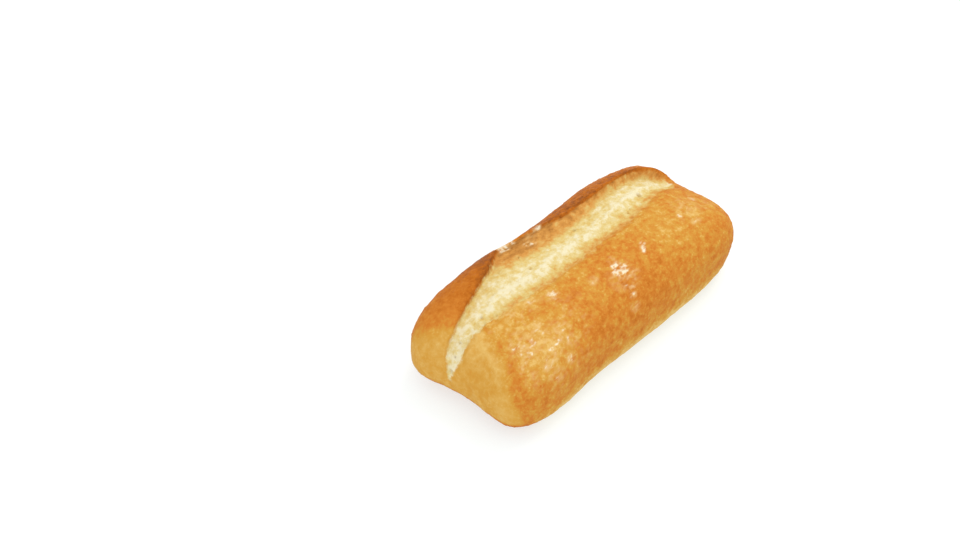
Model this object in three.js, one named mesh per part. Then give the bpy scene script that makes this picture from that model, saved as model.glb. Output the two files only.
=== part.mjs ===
// A ciabatta roll: one baked piece with a flat base, a domed top and one long slash that opened in the oven.
// Millimetres, +Z up. The roll rests on z = 0 with its middle over the origin.
// +X is its far end, +Y its left side.
import * as THREE from 'three';
import { mergeVertices } from 'three/addons/utils/BufferGeometryUtils.js';

// Driving dimensions.
const LENGTH = 160;
const WIDTH = 76;
const HEIGHT = 42;

// The plain form is a rounded pillow: a higher power gives a squarer outline.
const PLAN_POWER = 5.2;
const TOP_POWER = 2.6;
const BASE_POWER = 4.0;
const WIDEST_LEVEL = 0.42 * HEIGHT;
const BASE_CUT = 0.8;

// Cells of the surface along the roll, across it and up its side.
const CELLS_ALONG = 56;
const CELLS_ACROSS = 28;
const CELLS_UP = 12;

// The slash, as [distance along the roll, distance across it].
// Past the rim of the top, both run on down the side.
const RIM_LEVEL = 38;
const SLASH_RIGHT_EDGE = [
  [-106, 7.6], [-98, 6.4], [-88, 6.0], [-72, 7.2], [-58, 5.4], [-44, 3.4], [-30, -0.2], [-14, -2], [4, -2.6],
  [22, -2.6], [40, -1], [55, 2.6], [66, 4], [76, 3.6], [86, 4.2],
];
// The torn edge of the crust on the left: the near lobe's edge, the gap beside its tip,
// and the far ridge's edge.
const CRUST_EDGE = [
  [-106, 8.8], [-98, 10], [-84, 13.2], [-70, 14.8], [-56, 17.6], [-36, 23.2], [-26, 28], [-19, 34], [-8, 37],
  [3, 31], [13, 24.2], [28, 21.5], [45, 21.5], [57, 21.6], [67, 18.8], [76, 14], [86, 8.6],
];
const SLASH_START = -104;
const SLASH_END = 86;
const SLASH_DEPTH = 2.6;
const SLASH_FOOT = [6, 13];
const TORN_WALL_WIDTH = 7;
const NEAR_EDGE_HALF_WIDTH = 1.8;
const FAR_EDGE_HALF_WIDTH = 4.5;

// How far the torn edge stands proud, as [distance along the roll, rise],
// and how far the rise reaches outwards.
const EDGE_LIFT = [
  [-104, 0.1], [-92, 0.5], [-76, 1], [-60, 1.4], [-34, 1.7], [-22, 1.4], [-8, 0.3], [6, 0.8], [30, 1.9],
  [52, 1.7], [66, 2.7], [76, 2.8], [86, 0.4],
];
const LOBE_REACH = 20;
const RIDGE_REACH = 9;

// Uneven rising. The left side's waist, as [x, depth]: a negative depth is a bulge.
const WAIST = [
  [-80, -2.8], [-66, -3.2], [-48, -2.8], [-30, -2.2], [-12, -1], [5, 0.3], [16, 0.5], [26, 0.5], [40, 0.4],
  [52, 1.1], [60, 1.3], [68, 0.7], [80, -2],
];
const FAR_SHOULDER = 0.9;
const END_PINCH = 3.5;
const END_PINCH_HALF_WIDTH = 19;
const RIGHT_TUCK = 1.2;
const RIGHT_HOLLOW = 1.4;
const RIGHT_HOLLOW_HALF_LENGTH = 55;
const RIGHT_DENT = 1.7;
const RIGHT_DENT_HALF_LENGTH = 20;

// Goes from 0 at `from` to 1 at `to`, with soft ends. `from` may be the larger one.
function fade(from, to, value) {
  const share = THREE.MathUtils.clamp((value - from) / (to - from), 0, 1);
  return share * share * (3 - 2 * share);
}

function bell(value, middle, halfWidth) {
  return Math.exp(-(((value - middle) / halfWidth) ** 2));
}

// The height of a smooth curve through [distance, height] points.
function curveAt(points, distance) {
  const last = points.length - 1;
  const at = THREE.MathUtils.clamp(distance, points[0][0], points[last][0]);
  let i = 0;
  while (i < last - 1 && at > points[i + 1][0]) i += 1;
  const slope = (k) => {
    const before = points[Math.max(k - 1, 0)];
    const after = points[Math.min(k + 1, last)];
    return (after[1] - before[1]) / (after[0] - before[0]);
  };
  const [x0, y0] = points[i];
  const [x1, y1] = points[i + 1];
  const span = x1 - x0;
  const u = (at - x0) / span;
  const start = (2 * u ** 3 - 3 * u ** 2 + 1) * y0 + (u ** 3 - 2 * u ** 2 + u) * span * slope(i);
  const end = (3 * u ** 2 - 2 * u ** 3) * y1 + (u ** 3 - u ** 2) * span * slope(i + 1);
  return start + end;
}

// Moves a point of the cube from -1 to 1 onto the pillow.
function ontoPillow(point) {
  const above = point.z >= 0;
  const power = above ? TOP_POWER : BASE_POWER;
  const rise = above ? HEIGHT - WIDEST_LEVEL : WIDEST_LEVEL;
  const plan = (Math.abs(point.x) ** PLAN_POWER + Math.abs(point.y) ** PLAN_POWER) ** (power / PLAN_POWER);
  const shrink = (plan + Math.abs(point.z) ** power) ** (-1 / power);
  point.multiplyScalar(shrink);
  point.set(point.x * LENGTH / 2, point.y * WIDTH / 2, WIDEST_LEVEL + point.z * rise);
}

// How far the far shoulder stands out from the pillow, less the left side's waist.
function risingOffset(point) {
  const shoulder = FAR_SHOULDER * fade(45, 72, point.x) * fade(6, -16, point.y) * fade(10, 22, point.z);
  const waist = curveAt(WAIST, point.x) * fade(10, 34, point.y) * fade(2, 12, point.z);
  return shoulder - waist;
}

// How far the torn crust and the crumb stand out from the pillow, or in where it is negative.
function slashOffset(point) {
  const below = Math.max(0, RIM_LEVEL - point.z);
  const along = point.x - below * fade(-58, -77, point.x) + below * fade(58, 77, point.x);
  const across = point.y + below * fade(14, 33, point.y);
  const opening = fade(SLASH_START, SLASH_START + 22, along) * fade(SLASH_END, SLASH_END - 14, along);
  const pastRight = across - curveAt(SLASH_RIGHT_EDGE, along);
  const pastCrust = across - curveAt(CRUST_EDGE, along);
  const wall = fade(-TORN_WALL_WIDTH, 0, pastCrust) * fade(-18, 8, along);
  const inner = -SLASH_DEPTH * opening * fade(-5, 4, pastRight) * (1 - wall);
  const reach = THREE.MathUtils.lerp(LOBE_REACH, RIDGE_REACH, fade(-20, 10, along));
  const outer = curveAt(EDGE_LIFT, along) * Math.exp(-Math.max(0, pastCrust) / reach);
  const edge = THREE.MathUtils.lerp(NEAR_EDGE_HALF_WIDTH, FAR_EDGE_HALF_WIDTH, fade(40, 66, along));
  const over = fade(-edge, edge, pastCrust);
  return fade(SLASH_FOOT[0], SLASH_FOOT[1], point.z) * (inner + (outer - inner) * over);
}

// The pinch of the near end, and the right side tucked in, with a long hollow and a shorter dent.
function sideShift(point) {
  const pinch = END_PINCH * bell(point.y, 0, END_PINCH_HALF_WIDTH) * fade(-55, -78, point.x);
  const hollow = RIGHT_HOLLOW * bell(point.x, 5, RIGHT_HOLLOW_HALF_LENGTH);
  const dent = RIGHT_DENT * bell(point.x, -26, RIGHT_DENT_HALF_LENGTH);
  return new THREE.Vector3(pinch, (RIGHT_TUCK + hollow + dent) * fade(-12, -36, point.y), 0);
}

function rollGeometry() {
  const box = new THREE.BoxGeometry(2, 2, 2, CELLS_ALONG, CELLS_ACROSS, CELLS_UP);
  box.deleteAttribute('normal');
  box.deleteAttribute('uv');
  const surface = mergeVertices(box);
  const places = surface.attributes.position;
  const point = new THREE.Vector3();
  for (let i = 0; i < places.count; i += 1) {
    point.fromBufferAttribute(places, i);
    ontoPillow(point);
    places.setXYZ(i, point.x, point.y, point.z);
  }
  surface.computeVertexNormals();
  const outward = new THREE.Vector3();
  for (let i = 0; i < places.count; i += 1) {
    point.fromBufferAttribute(places, i);
    outward.fromBufferAttribute(surface.attributes.normal, i);
    const shift = sideShift(point);
    point.addScaledVector(outward, risingOffset(point) + slashOffset(point)).add(shift);
    const height = Math.max(0, point.z - BASE_CUT) * HEIGHT / (HEIGHT - BASE_CUT);
    places.setXYZ(i, point.x, point.y, height);
  }
  surface.computeBoundingBox();
  const middle = surface.boundingBox.getCenter(new THREE.Vector3());
  surface.translate(-middle.x, -middle.y, 0);
  surface.computeVertexNormals();
  return surface;
}

const crust = new THREE.MeshStandardMaterial({ color: 0xd98a35, roughness: 0.62, metalness: 0 });
const roll = new THREE.Mesh(rollGeometry(), crust);
roll.name = 'ciabatta_roll';

const group = new THREE.Group();
group.add(roll);
export default group;
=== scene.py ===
import math

import bpy
import numpy as np
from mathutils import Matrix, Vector, kdtree, noise


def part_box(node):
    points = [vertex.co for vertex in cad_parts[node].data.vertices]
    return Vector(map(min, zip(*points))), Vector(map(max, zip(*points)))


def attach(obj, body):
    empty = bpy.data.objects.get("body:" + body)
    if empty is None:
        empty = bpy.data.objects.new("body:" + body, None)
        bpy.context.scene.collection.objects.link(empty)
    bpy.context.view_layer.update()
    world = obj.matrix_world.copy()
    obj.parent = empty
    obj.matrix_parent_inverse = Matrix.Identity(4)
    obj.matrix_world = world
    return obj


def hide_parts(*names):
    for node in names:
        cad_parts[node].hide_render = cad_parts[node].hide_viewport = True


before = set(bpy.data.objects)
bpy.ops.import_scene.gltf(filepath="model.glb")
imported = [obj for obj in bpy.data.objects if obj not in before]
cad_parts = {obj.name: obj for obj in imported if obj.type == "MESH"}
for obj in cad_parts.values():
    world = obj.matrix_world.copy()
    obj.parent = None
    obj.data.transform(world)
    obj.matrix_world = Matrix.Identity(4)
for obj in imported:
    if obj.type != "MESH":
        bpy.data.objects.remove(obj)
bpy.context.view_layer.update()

MM = 0.001
NODE = "ciabatta_roll"
roll_low, roll_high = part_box(NODE)
LENGTH, WIDTH, HEIGHT = np.array(roll_high - roll_low) / MM

# ---------------------------------------------------------------- the form

# The plain form is a rounded pillow: a higher power gives a squarer outline.
PLAN_POWER = 5.2
TOP_POWER = 2.6
BASE_POWER = 4.0
WIDEST_LEVEL = 0.42 * HEIGHT
BASE_CUT = 0.8

# Cells of the surface along the roll, across it and up its side.
CELLS_ALONG = 232
CELLS_ACROSS = 118
CELLS_UP = 64

# Uneven rising. The left side's waist, as [x, depth]: a negative depth is a bulge.
WAIST = [
    (-80, -2.8), (-66, -3.2), (-48, -2.8), (-30, -2.2), (-12, -1), (5, 0.3), (16, 0.5), (26, 0.5), (40, 0.4),
    (52, 1.1), (60, 1.3), (68, 0.7), (80, -2),
]
FAR_SHOULDER = 0.9
BROAD_LUMPS = 0.45
END_PINCH = 3.5
END_PINCH_HALF_WIDTH = 19
RIGHT_TUCK = 1.2
RIGHT_HOLLOW = 1.4
RIGHT_HOLLOW_HALF_LENGTH = 55
RIGHT_DENT = 1.7
RIGHT_DENT_HALF_LENGTH = 20

# The slash, as [distance along the roll, distance across it]. Below the rim of the top, both run on down the
# side: from nothing at the first distance of each turn to fully at its second. Pale crumb shows from the
# right edge to the crumb edge, and toasted crumb from there to the crust's torn edge.
RIM_LEVEL = 0.9 * HEIGHT
END_TURN = (58, 77)
SIDE_TURN = (14, 33)
RIGHT_EDGE = [
    (-106, 8.4), (-98, 7.3), (-88, 6.4), (-72, 7.2), (-58, 5.4), (-44, 3.4), (-30, -0.2), (-14, -2),
    (4, -2.6), (22, -2.6), (40, -1), (55, 2.6), (66, 4), (76, 3.6), (86, 4.2),
]
CRUMB_EDGE = [
    (-106, 8.8), (-98, 10), (-84, 13.2), (-70, 14.6), (-56, 16.9), (-44, 19), (-34, 20.4), (-24, 20.4),
    (-10, 18.4), (6, 16.6), (20, 16.8), (34, 18.2), (50, 19.8), (61, 19.4), (70, 15.6), (78, 11), (86, 6.4),
]
CRUST_EDGE = [
    (-106, 8.8), (-98, 10), (-84, 13.2), (-70, 14.8), (-56, 17.6), (-36, 23.2), (-26, 28), (-19, 34),
    (-8, 37), (3, 31), (13, 24.2), (28, 21.5), (45, 21.5), (57, 21.6), (67, 18.8), (76, 14), (86, 8.6),
]
SLASH_START = -104
SLASH_END = 86
SLASH_DEPTH = 2.6
SLASH_FOOT = (6, 13)

# How far the toasted crumb climbs out of the slash, as [distance along the roll, share of the slash's depth].
WALL_RISE = [(-30, 0), (-18, 0.4), (8, 0.8), (30, 1.2), (66, 1.2), (82, 0.3)]

# How far the torn edge stands proud, as [distance along the roll, rise], and how far outwards it does so.
EDGE_LIFT = [
    (-104, 0.1), (-92, 0.5), (-76, 1), (-60, 1.4), (-34, 1.7), (-22, 1.4), (-8, 0.3), (6, 0.8), (30, 1.9),
    (52, 1.8), (66, 3.0), (76, 3.5), (86, 0.6),
]
EDGE_REACH = [(-99, 20), (-20, 20), (10, 9), (82, 8)]
EDGE_HALF_WIDTH = 0.45

# The torn edge leans over the slash by this much, where it is lifted by the full lift or more.
EDGE_CURL = 1.1
EDGE_CURL_REACH = 2.2
FULL_CURL_LIFT = 1.7

TEAR_RISE = 0.6

# Scattered spots lie where their mask is above this share, and above this level.
SPOT_MASK = 0.6
SPOT_LEVEL = 5

# Pores in the torn crumb: some small ones anywhere, and larger ones as (along, across, radius).
SMALL_PORES = 6
SMALL_PORE_RADII = (0.5, 1.0)
LARGE_PORES = [
    (52, 8, 1.5), (-97, 8.2, 1.3), (-103, 8.4, 1.0), (-88, 8.8, 0.7), (-76, 10.4, 0.8), (-20, 12, 0.9),
    (-55, 10, 0.9),
]
PORE_DEPTH = 0.9

BLISTERS = 700
BLISTER_RADII = (0.9, 2.4)
BLISTER_RISE = 0.22


def fade(start, end, value):
    """From 0 at start to 1 at end, with soft ends. start may be the larger one."""
    share = np.clip((value - start) / (end - start), 0, 1)
    return share * share * (3 - 2 * share)


def bell(value, middle, half_width):
    return np.exp(-(((value - middle) / half_width) ** 2))


def curve_at(points, distance):
    """The height of a smooth curve through [distance, height] points."""
    x, y = np.array(points, float).T
    slope = np.empty_like(x)
    slope[1:-1] = (y[2:] - y[:-2]) / (x[2:] - x[:-2])
    slope[0] = (y[1] - y[0]) / (x[1] - x[0])
    slope[-1] = (y[-1] - y[-2]) / (x[-1] - x[-2])
    at = np.clip(distance, x[0], x[-1])
    i = np.clip(np.searchsorted(x, at) - 1, 0, len(x) - 2)
    span = x[i + 1] - x[i]
    u = (at - x[i]) / span
    start = (2 * u**3 - 3 * u**2 + 1) * y[i] + (u**3 - 2 * u**2 + u) * span * slope[i]
    end = (3 * u**2 - 2 * u**3) * y[i + 1] + (u**3 - u**2) * span * slope[i + 1]
    return start + end


def grain(points, size, octaves=1, seed=0):
    """Smooth noise of about -1 to 1 at each point, with bumps about `size` millimetres across."""
    offset = np.array([17.3, -9.1, 5.7]) * seed
    places = (points / size + offset).tolist()
    if octaves == 1:
        return np.array([noise.noise(place) for place in places])
    return np.array([noise.fractal(place, 1.0, 2.0, octaves) for place in places])


def cube_grid(cells):
    """The points of a cube from -1 to 1 whose faces are grids, each point once, and its outward quads."""
    nx, ny, nz = cells
    points, quads, index = [], [], {}

    def corner(i, j, k):
        if (i, j, k) not in index:
            index[(i, j, k)] = len(points)
            points.append((2 * i / nx - 1, 2 * j / ny - 1, 2 * k / nz - 1))
        return index[(i, j, k)]

    def face(count_a, count_b, place):
        for a in range(count_a):
            for b in range(count_b):
                around = ((a, b), (a + 1, b), (a + 1, b + 1), (a, b + 1))
                quads.append([corner(*place(*step)) for step in around])

    face(nx, ny, lambda a, b: (a, b, nz))
    face(ny, nx, lambda a, b: (b, a, 0))
    face(ny, nz, lambda a, b: (nx, a, b))
    face(nz, ny, lambda a, b: (0, b, a))
    face(nz, nx, lambda a, b: (b, ny, a))
    face(nx, nz, lambda a, b: (a, 0, b))
    return np.array(points), np.array(quads)


def onto_pillow(cube):
    """Moves points of the cube onto the pillow."""
    above = cube[:, 2] >= 0
    power = np.where(above, TOP_POWER, BASE_POWER)
    rise = np.where(above, HEIGHT - WIDEST_LEVEL, WIDEST_LEVEL)
    x, y, z = np.abs(cube).T
    plan = (x**PLAN_POWER + y**PLAN_POWER) ** (power / PLAN_POWER)
    shrink = (plan + z**power) ** (-1 / power)
    points = cube * shrink[:, None]
    points[:, 0] *= LENGTH / 2
    points[:, 1] *= WIDTH / 2
    points[:, 2] = WIDEST_LEVEL + points[:, 2] * rise
    return points


class Surface:
    """The roll's skin as it is shaped.

    points move as the skin is shaped, and base keeps them on the plain pillow. along and across are each
    point's place by the slash, and right, crumb and crust are how far across the slash's ragged edges lie
    there. past_crust is how far a point lies outside the torn edge. tones are what the finish reads.
    """

    def __init__(self):
        cube, self.quads = cube_grid((CELLS_ALONG, CELLS_ACROSS, CELLS_UP))
        self.points = onto_pillow(cube)
        self.base = self.points.copy()
        self.tones = {}
        x, y, z = self.base.T
        below = np.maximum(0, RIM_LEVEL - z)
        self.along = x - below * fade(*END_TURN, -x) + below * fade(*END_TURN, x)
        self.across = y + below * fade(*SIDE_TURN, y) - below * fade(*SIDE_TURN, -y)
        wander = 1.3 * grain(self.base, 9, 3, seed=1)
        fringe = 0.8 * grain(self.base, 2.4, 2, seed=16)
        self.right = curve_at(RIGHT_EDGE, self.along) + wander + fringe
        self.crumb = curve_at(CRUMB_EDGE, self.along) + 0.8 * grain(self.base, 8, 3, seed=2)
        self.crust = curve_at(CRUST_EDGE, self.along) + 0.5 * grain(self.base, 7, 2, seed=3)
        step = 1.0
        ahead = curve_at(CRUST_EDGE, self.along + step)
        behind = curve_at(CRUST_EDGE, self.along - step)
        slant = (ahead - behind) / (2 * step)
        self.past_crust = (self.across - self.crust) / np.sqrt(1 + slant**2)

    def normals(self):
        """Outward unit normals at the points."""
        a, b, c, d = (self.points[self.quads[:, i]] for i in range(4))
        facing = np.cross(c - a, d - b)
        total = np.zeros_like(self.points)
        for i in range(4):
            np.add.at(total, self.quads[:, i], facing)
        return total / np.linalg.norm(total, axis=1)[:, None]

    def push(self, amount):
        """Moves the points out along their normals."""
        self.points += self.normals() * amount[:, None]


def shape_body(skin):
    """Uneven rising: a pinched near end, a waist on the left, hollows on the right, and broad lumps."""
    x, y, z = skin.base.T
    off_base = fade(2, 12, z)
    waist = curve_at(WAIST, x) * fade(10, 34, y) * off_base
    far_shoulder = FAR_SHOULDER * fade(45, 72, x) * fade(6, -16, y) * fade(10, 22, z)
    lumps = BROAD_LUMPS * grain(skin.base, 34, 1, seed=4) * off_base
    skin.push(far_shoulder - waist + lumps)
    skin.points[:, 0] += END_PINCH * bell(y, 0, END_PINCH_HALF_WIDTH) * fade(-55, -78, x)
    hollow = RIGHT_HOLLOW * bell(x, 5, RIGHT_HOLLOW_HALF_LENGTH)
    dent = RIGHT_DENT * bell(x, -26, RIGHT_DENT_HALF_LENGTH)
    skin.points[:, 1] += (RIGHT_TUCK + hollow + dent) * fade(-12, -36, y)


def open_slash(skin):
    """Sinks the torn crumb and raises the crust edge that the oven lifted along its left side."""
    along, across = skin.along, skin.across
    foot = fade(*SLASH_FOOT, skin.base[:, 2])
    opening = fade(SLASH_START, SLASH_START + 22, along) * fade(SLASH_END, SLASH_END - 14, along)
    depth = SLASH_DEPTH * opening
    floor = -depth * fade(-5, 4, across - skin.right)
    wall_width = skin.crust - skin.crumb
    wall_share = fade(0, 1, (across - skin.crumb) / np.maximum(wall_width, 0.5))
    wall = depth * curve_at(WALL_RISE, along) * wall_share * fade(0, 1.5, wall_width)
    inner = floor + wall
    lift = curve_at(EDGE_LIFT, along)
    outside = np.maximum(0, skin.past_crust)
    outer = lift * np.exp(-outside / curve_at(EDGE_REACH, along))
    over = fade(-EDGE_HALF_WIDTH, EDGE_HALF_WIDTH, skin.past_crust)
    skin.push(foot * (inner + (outer - inner) * over))
    leaning = EDGE_CURL * np.clip(lift / FULL_CURL_LIFT, 0, 1)
    skin.points -= leftwards(skin) * (leaning * over * np.exp(-outside / EDGE_CURL_REACH) * foot)[:, None]
    inside = fade(-2.6, 1.6, across - skin.right) * fade(0.9, -0.9, skin.past_crust)
    from_start = fade(SLASH_START - 2, SLASH_START + 3, along)
    skin.tones["open"] = inside * from_start * fade(SLASH_END - 2, SLASH_END - 10, along) * foot


def leftwards(skin):
    """At each point, the unit vector along the skin to the roll's left."""
    normals = skin.normals()
    left = np.cross(normals, [1.0, 0, 0]) + np.abs(normals[:, :1]) * np.array([0, 1.0, 0])
    return left / np.linalg.norm(left, axis=1)[:, None]


def rough_crumb(skin):
    """Torn strands along the slash, fine crumb, and a raised tear that runs down its middle."""
    open_share = skin.tones["open"]
    drawn_out = np.stack([skin.along / 5, skin.across, skin.base[:, 2] / 3], axis=1)
    strands = 0.22 * grain(drawn_out, 1.8, 2, seed=5)
    crumb = 0.30 * grain(skin.base, 2.2, 3, seed=6)
    skin.push(open_share * (strands + crumb))
    share = (skin.across - skin.right) / np.maximum(skin.crumb - skin.right, 2)
    share += 0.13 * grain(skin.base, 11, 2, seed=14) + 0.07 * grain(skin.base, 3, 2, seed=18)
    span = fade(-75, -35, skin.along) * fade(72, 60, skin.along)
    crest = bell(share, 0.50, 0.09)
    flanks = 0.35 * bell(share, 0.60, 0.24)
    skin.tones["tear"] = (crest + flanks) * span * open_share
    skin.push(TEAR_RISE * skin.tones["tear"])


def rough_crust(skin):
    """Low lumps and fine grain on the baked skin."""
    closed = 1 - skin.tones["open"]
    side = fade(1, 6, skin.base[:, 2])
    lumps = 0.22 * grain(skin.base, 9, 2, seed=7)
    fine = 0.10 * grain(skin.base, 1.7, 2, seed=9)
    skin.push(closed * side * (lumps + fine))


def spots(skin, centres, radii, strengths):
    """A tone from each spot's strength at its middle to 0 at its rim, and the higher where spots meet."""
    flat = np.stack([skin.along, skin.across, np.zeros_like(skin.along)], axis=1)
    tree = kdtree.KDTree(len(flat))
    for i, place in enumerate(flat.tolist()):
        tree.insert(place, i)
    tree.balance()
    tone = np.zeros(len(flat))
    for (along, across), radius, strength in zip(centres, radii, strengths):
        found = tree.find_range((along, across, 0), radius)
        near = np.array([i for _, i, _ in found], int)
        apart = np.array([distance for _, _, distance in found])
        tone[near] = np.maximum(tone[near], strength * (1 - (apart / radius) ** 2))
    return tone


def scatter(skin, count, radius_range, mask, seed):
    """Places for spots where the mask is high, off the foot of the skin, and their radii."""
    dice = np.random.default_rng(seed)
    order = dice.permutation(np.flatnonzero((mask > SPOT_MASK) & (skin.base[:, 2] > SPOT_LEVEL)))[:count]
    centres = np.stack([skin.along[order], skin.across[order]], axis=1)
    low, high = radius_range
    return centres, low + (high - low) * dice.random(len(order)) ** 2


def add_pores(skin):
    """Round holes where bubbles burst in the torn crumb."""
    centres, radii = scatter(skin, SMALL_PORES, SMALL_PORE_RADII, skin.tones["open"], seed=26)
    centres = np.concatenate([centres, [pore[:2] for pore in LARGE_PORES]])
    radii = np.concatenate([radii, [pore[2] for pore in LARGE_PORES]])
    pores = spots(skin, centres, radii, np.ones(len(radii))) * skin.tones["open"]
    skin.push(-PORE_DEPTH * pores)
    # The finish darkens the holes by this tone: painted shade.
    skin.tones["pore"] = pores


def add_blisters(skin):
    """Small bubbles under the baked skin."""
    closed = 1 - skin.tones["open"]
    centres, radii = scatter(skin, BLISTERS, BLISTER_RADII, closed, seed=22)
    rise = spots(skin, centres, radii, np.ones(len(radii)))
    skin.push(BLISTER_RISE * rise * closed * fade(4, 10, skin.base[:, 2]))
    skin.tones["blister"] = rise * closed


# ---------------------------------------------------------------- flour and browning

# Thin patches of flour and of pale blistered skin, some of them painted highlights, as (along, across,
# radius, strength): down the right side at mid-length, towards the far end, over the near part of the dome,
# and in the gap beside the lobe's tip.
FLOUR_AND_HIGHLIGHT_PATCHES = [
    (6, -13, 1.6, 0.7), (5, -16.5, 2.0, 1.1), (5, -20, 3.4, 1.7), (4, -24, 6.5, 0.45), (3, -27.5, 1.7, 1.1),
    (3, -32, 1.8, 1.0), (2, -36, 1.8, 0.9), (0, -44, 2.4, 0.6),
    (24, -17, 1.4, 1.2), (22.8, -18.2, 1.4, 1.3), (21.5, -19.5, 1.3, 1.1), (68, -11, 1.8, 1.0),
    (51, -16, 1.4, 0.9), (56, -14, 2.0, 0.6), (55, -24, 2.4, 0.5), (60, -14, 6.0, 0.3),
    (-9, -15.5, 2.2, 0.5), (-28, -8, 2.6, 0.9), (-37, -3, 2.2, 0.6), (-48, 0, 2.4, 0.5),
    (-47, -14.5, 3.2, 0.7), (-58, -14, 3.4, 0.7), (-66, -26, 2.8, 0.7), (-54, -36, 3.0, 0.8),
    (-52, -45, 3.2, 0.6), (-52, -25, 3.2, 0.6), (-38, -24, 2.8, 0.6), (-39, -32, 2.8, 0.7),
    (-43, -42, 2.8, 0.6), (-46, -26, 8.0, 0.4), (-56, -18, 7.0, 0.4),
    (-15, 36.5, 3.2, 1.3), (-10, 37, 2.4, 1.0), (4, 31, 2.2, 1.1), (-6, 25, 2.4, 1.0), (-1, 30, 3.0, 0.4),
]
# A patch has faded out at this many times its radius.
PATCH_SPREAD = 1.6
VEIL_STRENGTH = 0.85

# Browning runs from 0, pale, to 1, dark brown; on the lifted crust and under the near end it also carries
# painted shade. These are the plain crust's, and how much darker or paler parts of the roll are.
PLAIN_BROWNING = 0.50
PALER_END = 0.23
PALER_RIGHT_FOOT = 0.40
# Under the near end the foot darkens partly as browned crust and partly as painted contact shade.
DARKER_END_FOOT = 0.45
SINGED = 0.12
# Paler places on the dome, as (along, half length, across, half width, how much paler).
PALER_PLACES = [(48, 32, -14, 18, 0.15), (-8, 16, -13, 11, 0.04), (-56, 26, -30, 18, 0.07)]
# How much darker the near lobe is, partly browning and partly painted shade on its side that faces away from
# the light, as [distance along the roll, browning].
LOBE_BROWNING_AND_SHADE = [(-101, 0), (-86, 0), (-68, 0.03), (-48, 0.17), (-32, 0.34), (-20, 0.46)]
# Where the pale, honey-coloured near end begins, as [y, distance along the roll].
HONEY_EDGE = [
    (-38, -106), (-30, -91), (-21, -78), (-13, -69.5), (-4, -65.5), (8, -60), (14, -67), (20, -71), (28, -80),
    (36, -90),
]

# Toasting of the torn crumb runs from 0, white, to 1, burnt. Beside the near lobe's edge it also carries
# painted shade.
PLAIN_TOAST = 0.20


def dust_flour_and_highlights(skin):
    """Ragged patches of flour, partly painted highlights, and a thin veil of flour over the near and the far
    part of the dome.
    """
    places = [patch[:2] for patch in FLOUR_AND_HIGHLIGHT_PATCHES]
    radii = [PATCH_SPREAD * patch[2] for patch in FLOUR_AND_HIGHLIGHT_PATCHES]
    strengths = [patch[3] for patch in FLOUR_AND_HIGHLIGHT_PATCHES]
    patches = spots(skin, places, radii, strengths)
    near_veil = bell(skin.along, -50, 20) * bell(skin.across, -24, 20)
    far_veil = 0.6 * bell(skin.along, 62, 12) * bell(skin.across, -16, 9)
    broken = fade(0.0, 0.35, grain(skin.base, 5, 3, seed=19))
    veil = VEIL_STRENGTH * (near_veil + far_veil) * broken
    ragged = 0.55 + 0.9 * grain(skin.base, 2.2, 3, seed=11)
    skin.tones["flour"] = np.clip(np.maximum(patches, veil) * ragged * 1.4, 0, 1)


def brown_dome(skin):
    """The crust's own browning, its pale near end, and paler places on the dome and the right side."""
    x, y, z = skin.base.T
    along, across = skin.along, skin.across
    browning = PLAIN_BROWNING + 0.06 * grain(skin.base, 30, 2, seed=12)
    browning += 0.07 * grain(skin.base, 4.5, 3, seed=31) * fade(6, -8, across)
    honey_edge = curve_at(HONEY_EDGE, y) + 3 * grain(skin.base, 10, 3, seed=15)
    on_lobe = fade(8, 14, across)
    honey = fade(4 + 4 * on_lobe, -6 - 6 * on_lobe, along - honey_edge)
    browning -= PALER_END * honey
    browning -= 0.15 * bell(along, -52, 22) * fade(10, 2, across) * fade(-38, -30, y)
    browning -= 0.15 * bell(across - skin.right, -2.0, 4) * fade(-60, -40, along) * fade(4, -20, along)
    for middle_along, half_length, middle_across, half_width, paler in PALER_PLACES:
        browning -= paler * bell(along, middle_along, half_length) * bell(across, middle_across, half_width)
    browning -= 0.05 * fade(-22, -37, y) * fade(30, 16, z) * fade(70, 40, x)
    skin.tones["even"] = honey
    skin.tones["browning"] = browning


def brown_and_shade_lifted_crust(skin):
    """Darkens the crust that the oven lifted: the near lobe and the far ridge, partly as browning and partly
    as painted shade on their sides that face away from the light, and the lobe's singed edge.
    """
    along, past_crust = skin.along, skin.past_crust
    # The lobe darkens partly as browning and partly as painted shade on its side away from the light.
    lobe = fade(-1, 1, past_crust) * fade(-5, -30, along) * fade(8, 13, skin.across)
    low_down = 0.08 * fade(33, 20, skin.base[:, 2]) * fade(-86, -70, along)
    skin.tones["browning"] += lobe * (curve_at(LOBE_BROWNING_AND_SHADE, along) - low_down)
    skin.tones["even"] = np.maximum(skin.tones["even"], 0.5 * lobe)
    # The far ridge darkens towards its torn edge: browner crust and painted shade on its outer side.
    ridge = fade(-1.5, 1.0, past_crust) * fade(-12, 8, along) * fade(96, 84, along)
    by_edge = 0.15 + 0.18 * np.exp(-np.maximum(0, past_crust) / 12)
    skin.tones["browning"] += ridge * by_edge * fade(90, 60, along)
    singed = bell(past_crust, 0.4, 0.9) * fade(-70, -46, along) * fade(-6, -20, along)
    skin.tones["browning"] += SINGED * singed


def brown_and_shade_foot(skin):
    """An uneven foot: paler along the right side, and darker under the near end, partly browned crust and
    partly painted contact shade.
    """
    x, y, z = skin.base.T
    height = z + 1.6 * grain(skin.base, 14, 3, seed=20)
    right_foot = PALER_RIGHT_FOOT * fade(16, 5.5, height) * fade(-18, -32, y) * fade(-68, -45, x)
    # The near end's darker foot: browned crust and painted contact shade.
    end_foot = DARKER_END_FOOT * fade(11.5, 7, height) * fade(-62, -77, x)
    skin.tones["browning"] -= right_foot
    skin.tones["browning"] += end_foot


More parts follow.
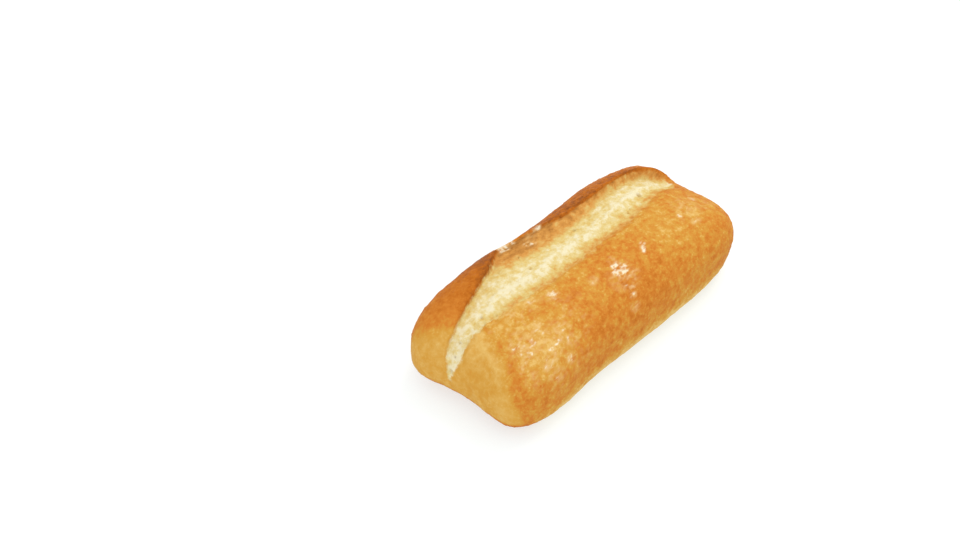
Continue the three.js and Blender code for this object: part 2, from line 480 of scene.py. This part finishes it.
def toast_and_shade_crumb(skin):
    """Toasts the torn crumb: most on its wall by the crust's torn edge, and a little along its right edge.
    Beside the near lobe's raised edge it darkens the crumb as painted shade.
    """
    along = skin.along
    past_crumb = skin.across - skin.crumb
    past_right = skin.across - skin.right
    off_near_end = fade(-34, -22, along)
    wall_share = np.clip(past_crumb / np.maximum(skin.crust - skin.crumb, 2), 0, 1)
    toast = PLAIN_TOAST + 0.06 * off_near_end - 0.05 * fade(30, 50, along) - 0.14 * fade(-56, -72, along)
    toast += (0.24 + 0.22 * wall_share) * fade(-4, 1.5, past_crumb) * off_near_end
    # Painted shade: the crumb darkens beside the near lobe's raised edge.
    toast += 0.10 * fade(-3, 0, past_crumb) * (1 - off_near_end)
    toast += 0.14 * bell(along, -9, 12) * fade(-2, 3, past_crumb)
    fringe = 2.0 + 5.5 * fade(-62, -40, along) * fade(74, 56, along)
    toast += (0.05 + 0.23 * fade(-62, -40, along)) * fade(1, 0.1, past_right / fringe)
    toast += 0.14 * grain(skin.base, 4, 3, seed=13)
    toast -= 0.19 * skin.tones["tear"]
    skin.tones["toast"] = np.clip(toast, 0, 1)


def set_down(skin):
    """Flattens the underside on z = 0 and fits the skin to the CAD roll's box."""
    points = skin.points
    points[:, 2] = np.maximum(0, points[:, 2] - BASE_CUT)
    low, high = points.min(0), points.max(0)
    cad_low_mm = np.array(roll_low) / MM
    cad_high_mm = np.array(roll_high) / MM
    skin.points = cad_low_mm + (points - low) / (high - low) * (cad_high_mm - cad_low_mm)


def piece_from(skin, name):
    """A smooth mesh of the skin that carries its tones."""
    mesh = bpy.data.meshes.new(name)
    mesh.from_pydata((skin.points * MM).tolist(), [], skin.quads.tolist())
    mesh.polygons.foreach_set("use_smooth", np.ones(len(skin.quads), bool))
    for tone, values in skin.tones.items():
        layer = mesh.attributes.new(tone, "FLOAT", "POINT")
        layer.data.foreach_set("value", values.astype(np.float32))
    mesh.update()
    piece = bpy.data.objects.new(name, mesh)
    bpy.context.scene.collection.objects.link(piece)
    return piece


# ---------------------------------------------------------------- the finish


class Value:
    """A socket of a material's nodes. Arithmetic on it adds Math nodes."""

    def __init__(self, maker, socket):
        self.maker = maker
        self.socket = socket

    def __add__(self, other):
        return self.maker.math("ADD", self, other)

    def __sub__(self, other):
        return self.maker.math("SUBTRACT", self, other)

    def __rsub__(self, other):
        return self.maker.math("SUBTRACT", other, self)

    def __mul__(self, other):
        return self.maker.math("MULTIPLY", self, other)

    __radd__ = __add__
    __rmul__ = __mul__


class Finish:
    """A material being made."""

    def __init__(self, name):
        self.material = bpy.data.materials.new(name)
        self.material.use_nodes = True
        self.tree = self.material.node_tree
        self.tree.nodes.clear()

    def node(self, kind, settings=None, inputs=None, output=0):
        """Adds a node: its settings come first, then its sockets' values or links. Returns one output."""
        made = self.tree.nodes.new(kind)
        for key, setting in (settings or {}).items():
            if key == "stops":
                self.set_stops(made.color_ramp, setting)
            else:
                setattr(made, key, setting)
        for key, given in (inputs or {}).items():
            if isinstance(given, Value):
                self.tree.links.new(given.socket, made.inputs[key])
            else:
                made.inputs[key].default_value = given
        return Value(self, made.outputs[output]) if made.outputs else made

    def set_stops(self, ramp, stops):
        for _ in range(len(stops) - len(ramp.elements)):
            ramp.elements.new(1)
        for element, (place, colour) in zip(ramp.elements, stops):
            element.position = place
            element.color = (*colour, 1)

    def math(self, operation, first, second):
        return self.node("ShaderNodeMath", {"operation": operation}, {0: first, 1: second})

    def fade(self, start, end, value):
        """From 0 at start to 1 at end, with soft ends."""
        settings = {"interpolation_type": "SMOOTHSTEP"}
        inputs = {"Value": value, "From Min": start, "From Max": end}
        return self.node("ShaderNodeMapRange", settings, inputs)

    def mix(self, factor, first, second):
        """A colour from first to second."""
        settings = {"data_type": "RGBA"}
        return self.node("ShaderNodeMix", settings, {"Factor": factor, 6: first, 7: second}, output=2)

    def ramp(self, stops, value):
        """The colour at a value between stops of (place, colour)."""
        return self.node("ShaderNodeValToRGB", {"stops": stops}, {"Fac": value})

    def tone(self, name):
        return self.node("ShaderNodeAttribute", {"attribute_name": name}, output="Fac")

    def grain(self, size, detail, roughness, where=None):
        """Noise of 0 to 1 with bumps about `size` millimetres across."""
        where = where or self.where
        inputs = {"Vector": where, "Scale": 1 / (size * MM), "Detail": detail, "Roughness": roughness}
        return self.node("ShaderNodeTexNoise", {}, inputs)

    @property
    def where(self):
        return self.node("ShaderNodeTexCoord", output="Object")


# The studio's light is bright enough to wash out the floor, so a surface shows this much lighter than it is.
STUDIO_GAIN = 1.25


def colour(red, green, blue):
    """A finish from the screen values 0 to 255 that it shows in the studio."""
    def linear(value):
        value /= 255
        return value / 12.92 if value <= 0.04045 else ((value + 0.055) / 1.055) ** 2.4
    return tuple(linear(value) / STUDIO_GAIN for value in (red, green, blue))


# The baked crust by its browning, and the torn crumb by its toasting.
# Burnt crumb, also the colour of the painted shade in the pores.
BURNT_CRUMB_AND_PORE_SHADE = colour(158, 98, 40)
CRUST_COLOURS = [
    (0.10, colour(236, 194, 112)),  # blond
    (0.30, colour(220, 162, 68)),  # pale honey
    (0.50, colour(215, 133, 50)),  # golden
    (0.72, colour(194, 108, 30)),  # amber
    (0.95, colour(140, 78, 30)),  # dark brown
]
CRUMB_COLOURS = [
    (0.0, colour(245, 234, 196)),  # white
    (0.16, colour(237, 218, 160)),  # cream
    (0.38, colour(228, 198, 120)),  # straw
    (0.62, colour(221, 156, 78)),  # toasted
    (0.95, BURNT_CRUMB_AND_PORE_SHADE),
]
# Flour colours, which also paint the highlights.
THIN_FLOUR_AND_HIGHLIGHT = colour(241, 202, 138)
FLOUR_AND_HIGHLIGHT = colour(252, 238, 206)

MOTTLING = 0.90
PALE_SPECKLE = 0.13
PALE_BLISTER = 0.08
# How far the pores darken towards burnt crumb: painted shade.
PORE_PAINTED_SHADE = 0.35
RAGGED_EDGE = 1.3

# The flour and painted highlights lie in short streaks along the roll. The turn only picks their places: they
# don't turn with it.
FLOUR_AND_HIGHLIGHT_STREAK = (0.4, 1, 1)
FLOUR_AND_HIGHLIGHT_TURN = math.radians(-41)

# Roughness of the baked crust, and how much rougher the torn crumb, the flour and its painted highlights are.
CRUST_ROUGHNESS = 0.5
ROUGHER_CRUMB = 0.3
CRUST_SPECULAR = 0.02
SKIN_BUMP = 0.35
SKIN_BUMP_HEIGHT = 0.4


def baked_crust(finish):
    """Crust coloured by its browning and painted shade, with mottles, pale speckles and pale blisters."""
    mottle = (finish.grain(3.2, 5, 0.68) - 0.5) * MOTTLING
    speckle = finish.fade(0.50, 0.72, finish.grain(1.2, 2, 0.6)) * PALE_SPECKLE
    unevenness = mottle - speckle - finish.tone("blister") * PALE_BLISTER
    browning = finish.tone("browning") + unevenness * (1 - finish.tone("even") * 0.6)
    return finish.ramp(CRUST_COLOURS, browning)


def torn_crumb(finish):
    """Crumb coloured by its toasting, with painted shade beside the near lobe, blotches that are weaker where
    it is toasted, and pores darkened with painted shade.
    """
    blotch = finish.grain(3.0, 5, 0.7)
    toast = finish.tone("toast")
    crumb = finish.ramp(CRUMB_COLOURS, toast + (blotch - 0.5) * (1.5 - toast))
    return finish.mix(finish.tone("pore") * PORE_PAINTED_SHADE, crumb, (*BURNT_CRUMB_AND_PORE_SHADE, 1))


def flour_and_highlight_streaks(finish, flour):
    """How much of the crust the flour and painted highlights cover."""
    stretch = {"Vector": finish.where, "Rotation": (0, 0, FLOUR_AND_HIGHLIGHT_TURN), "Scale": FLOUR_AND_HIGHLIGHT_STREAK}
    streaks = finish.grain(1.6, 2, 0.5, finish.node("ShaderNodeMapping", {}, stretch))
    return finish.fade(0.28, 0.62, streaks) * flour


def crust_finish():
    """Baked crust, torn crumb where the slash is open, and flour with painted highlights over both."""
    finish = Finish("baked_crust")
    opened = finish.tone("open")
    ragged = (finish.grain(2.6, 4, 0.65) - 0.5) * RAGGED_EDGE
    skin = finish.mix(finish.fade(0.2, 0.8, opened + ragged), baked_crust(finish), torn_crumb(finish))
    flour = finish.tone("flour")
    dust_and_highlight = flour_and_highlight_streaks(finish, flour)
    powder_and_highlight = finish.mix(finish.fade(0.5, 1.0, flour), (*THIN_FLOUR_AND_HIGHLIGHT, 1), (*FLOUR_AND_HIGHLIGHT, 1))
    fine = finish.grain(0.7, 3, 0.6)
    bump = {"Strength": SKIN_BUMP, "Distance": SKIN_BUMP_HEIGHT * MM, "Height": fine}
    inputs = {
        "Base Color": finish.mix(dust_and_highlight, skin, powder_and_highlight),
        "Roughness": finish.fade(0.2, 0.9, opened + dust_and_highlight) * ROUGHER_CRUMB + CRUST_ROUGHNESS,
        "Specular IOR Level": CRUST_SPECULAR,
        "Normal": finish.node("ShaderNodeBump", {}, bump),
    }
    shader = finish.node("ShaderNodeBsdfPrincipled", {}, inputs)
    finish.node("ShaderNodeOutputMaterial", {}, {"Surface": shader})
    return finish.material


def lit_floor_finish():
    """A pale floor that is lit through from below as well, so shadows on it stay faint."""
    finish = Finish("pale_floor")
    inputs = {
        "Base Color": (0.43, 0.43, 0.43, 1),
        "Roughness": 0.9,
        "Specular IOR Level": 0.0,
        "Emission Color": (0.93, 1, 1, 1),
        "Emission Strength": 0.6,
    }
    shader = finish.node("ShaderNodeBsdfPrincipled", {}, inputs)
    finish.node("ShaderNodeOutputMaterial", {}, {"Surface": shader})
    return finish.material


# ---------------------------------------------------------------- the studio

# The camera looks at a point this high over the roll's middle, moved to the right and up in the view.
VIEW_AZIMUTH = -48.5
VIEW_ELEVATION = 44.0
VIEW_DISTANCE = 1300
SENSOR_WIDTH = 36
LENS = 109
AIM_HEIGHT = 20
AIM_RIGHT = -42.6
AIM_UP = 6.5

FLOOR_HALF_SIDE = 20000

# Round softboxes, as (name, azimuth, elevation, distance, diameter, watts).
SOFTBOXES = [("key", 95, 52, 1500, 900, 8), ("front", -60, 35, 1600, 1200, 5)]


def direction(azimuth, elevation):
    """The unit vector that points from the roll to a camera or a light."""
    a, e = math.radians(azimuth), math.radians(elevation)
    return Vector((math.sin(a) * math.cos(e), -math.cos(a) * math.cos(e), math.sin(e)))


def set_camera():
    back = direction(VIEW_AZIMUTH, VIEW_ELEVATION)
    right = Vector((math.cos(math.radians(VIEW_AZIMUTH)), math.sin(math.radians(VIEW_AZIMUTH)), 0))
    up = back.cross(right)
    aim = Vector((0, 0, AIM_HEIGHT)) + right * AIM_RIGHT + up * AIM_UP
    data = bpy.data.cameras.new("camera")
    data.lens = LENS
    data.sensor_width = SENSOR_WIDTH
    camera = bpy.data.objects.new("camera", data)
    camera.location = (aim + back * VIEW_DISTANCE) * MM
    camera.rotation_euler = back.to_track_quat("Z", "Y").to_euler()
    bpy.context.scene.collection.objects.link(camera)
    bpy.context.scene.camera = camera


def lay_floor():
    half = FLOOR_HALF_SIDE * MM
    corners = [(-half, -half, 0), (half, -half, 0), (half, half, 0), (-half, half, 0)]
    mesh = bpy.data.meshes.new("floor")
    mesh.from_pydata(corners, [], [(0, 1, 2, 3)])
    floor = bpy.data.objects.new("floor", mesh)
    floor.data.materials.append(lit_floor_finish())
    bpy.context.scene.collection.objects.link(floor)


def light_room():
    """Plain white light from all round."""
    world = bpy.data.worlds.new("studio")
    world.use_nodes = True
    background = world.node_tree.nodes["Background"]
    background.inputs["Color"].default_value = (1, 1, 1, 1)
    background.inputs["Strength"].default_value = 1.0
    bpy.context.scene.world = world


def softbox(name, azimuth, elevation, distance, size, power):
    data = bpy.data.lights.new(name, "AREA")
    data.shape = "DISK"
    data.size = size * MM
    data.energy = power
    lamp = bpy.data.objects.new(name, data)
    toward = direction(azimuth, elevation)
    lamp.location = toward * distance * MM
    lamp.rotation_euler = toward.to_track_quat("Z", "Y").to_euler()
    bpy.context.scene.collection.objects.link(lamp)


set_camera()
lay_floor()
light_room()
for settings in SOFTBOXES:
    softbox(*settings)
bpy.context.scene.view_settings.view_transform = "Standard"

skin = Surface()
shape_body(skin)
open_slash(skin)
rough_crumb(skin)
rough_crust(skin)
add_pores(skin)
add_blisters(skin)
dust_flour_and_highlights(skin)
brown_dome(skin)
brown_and_shade_lifted_crust(skin)
brown_and_shade_foot(skin)
toast_and_shade_crumb(skin)
set_down(skin)
roll = piece_from(skin, "ciabatta_roll_crust")
roll.data.materials.append(crust_finish())
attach(roll, "root")
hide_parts(NODE)
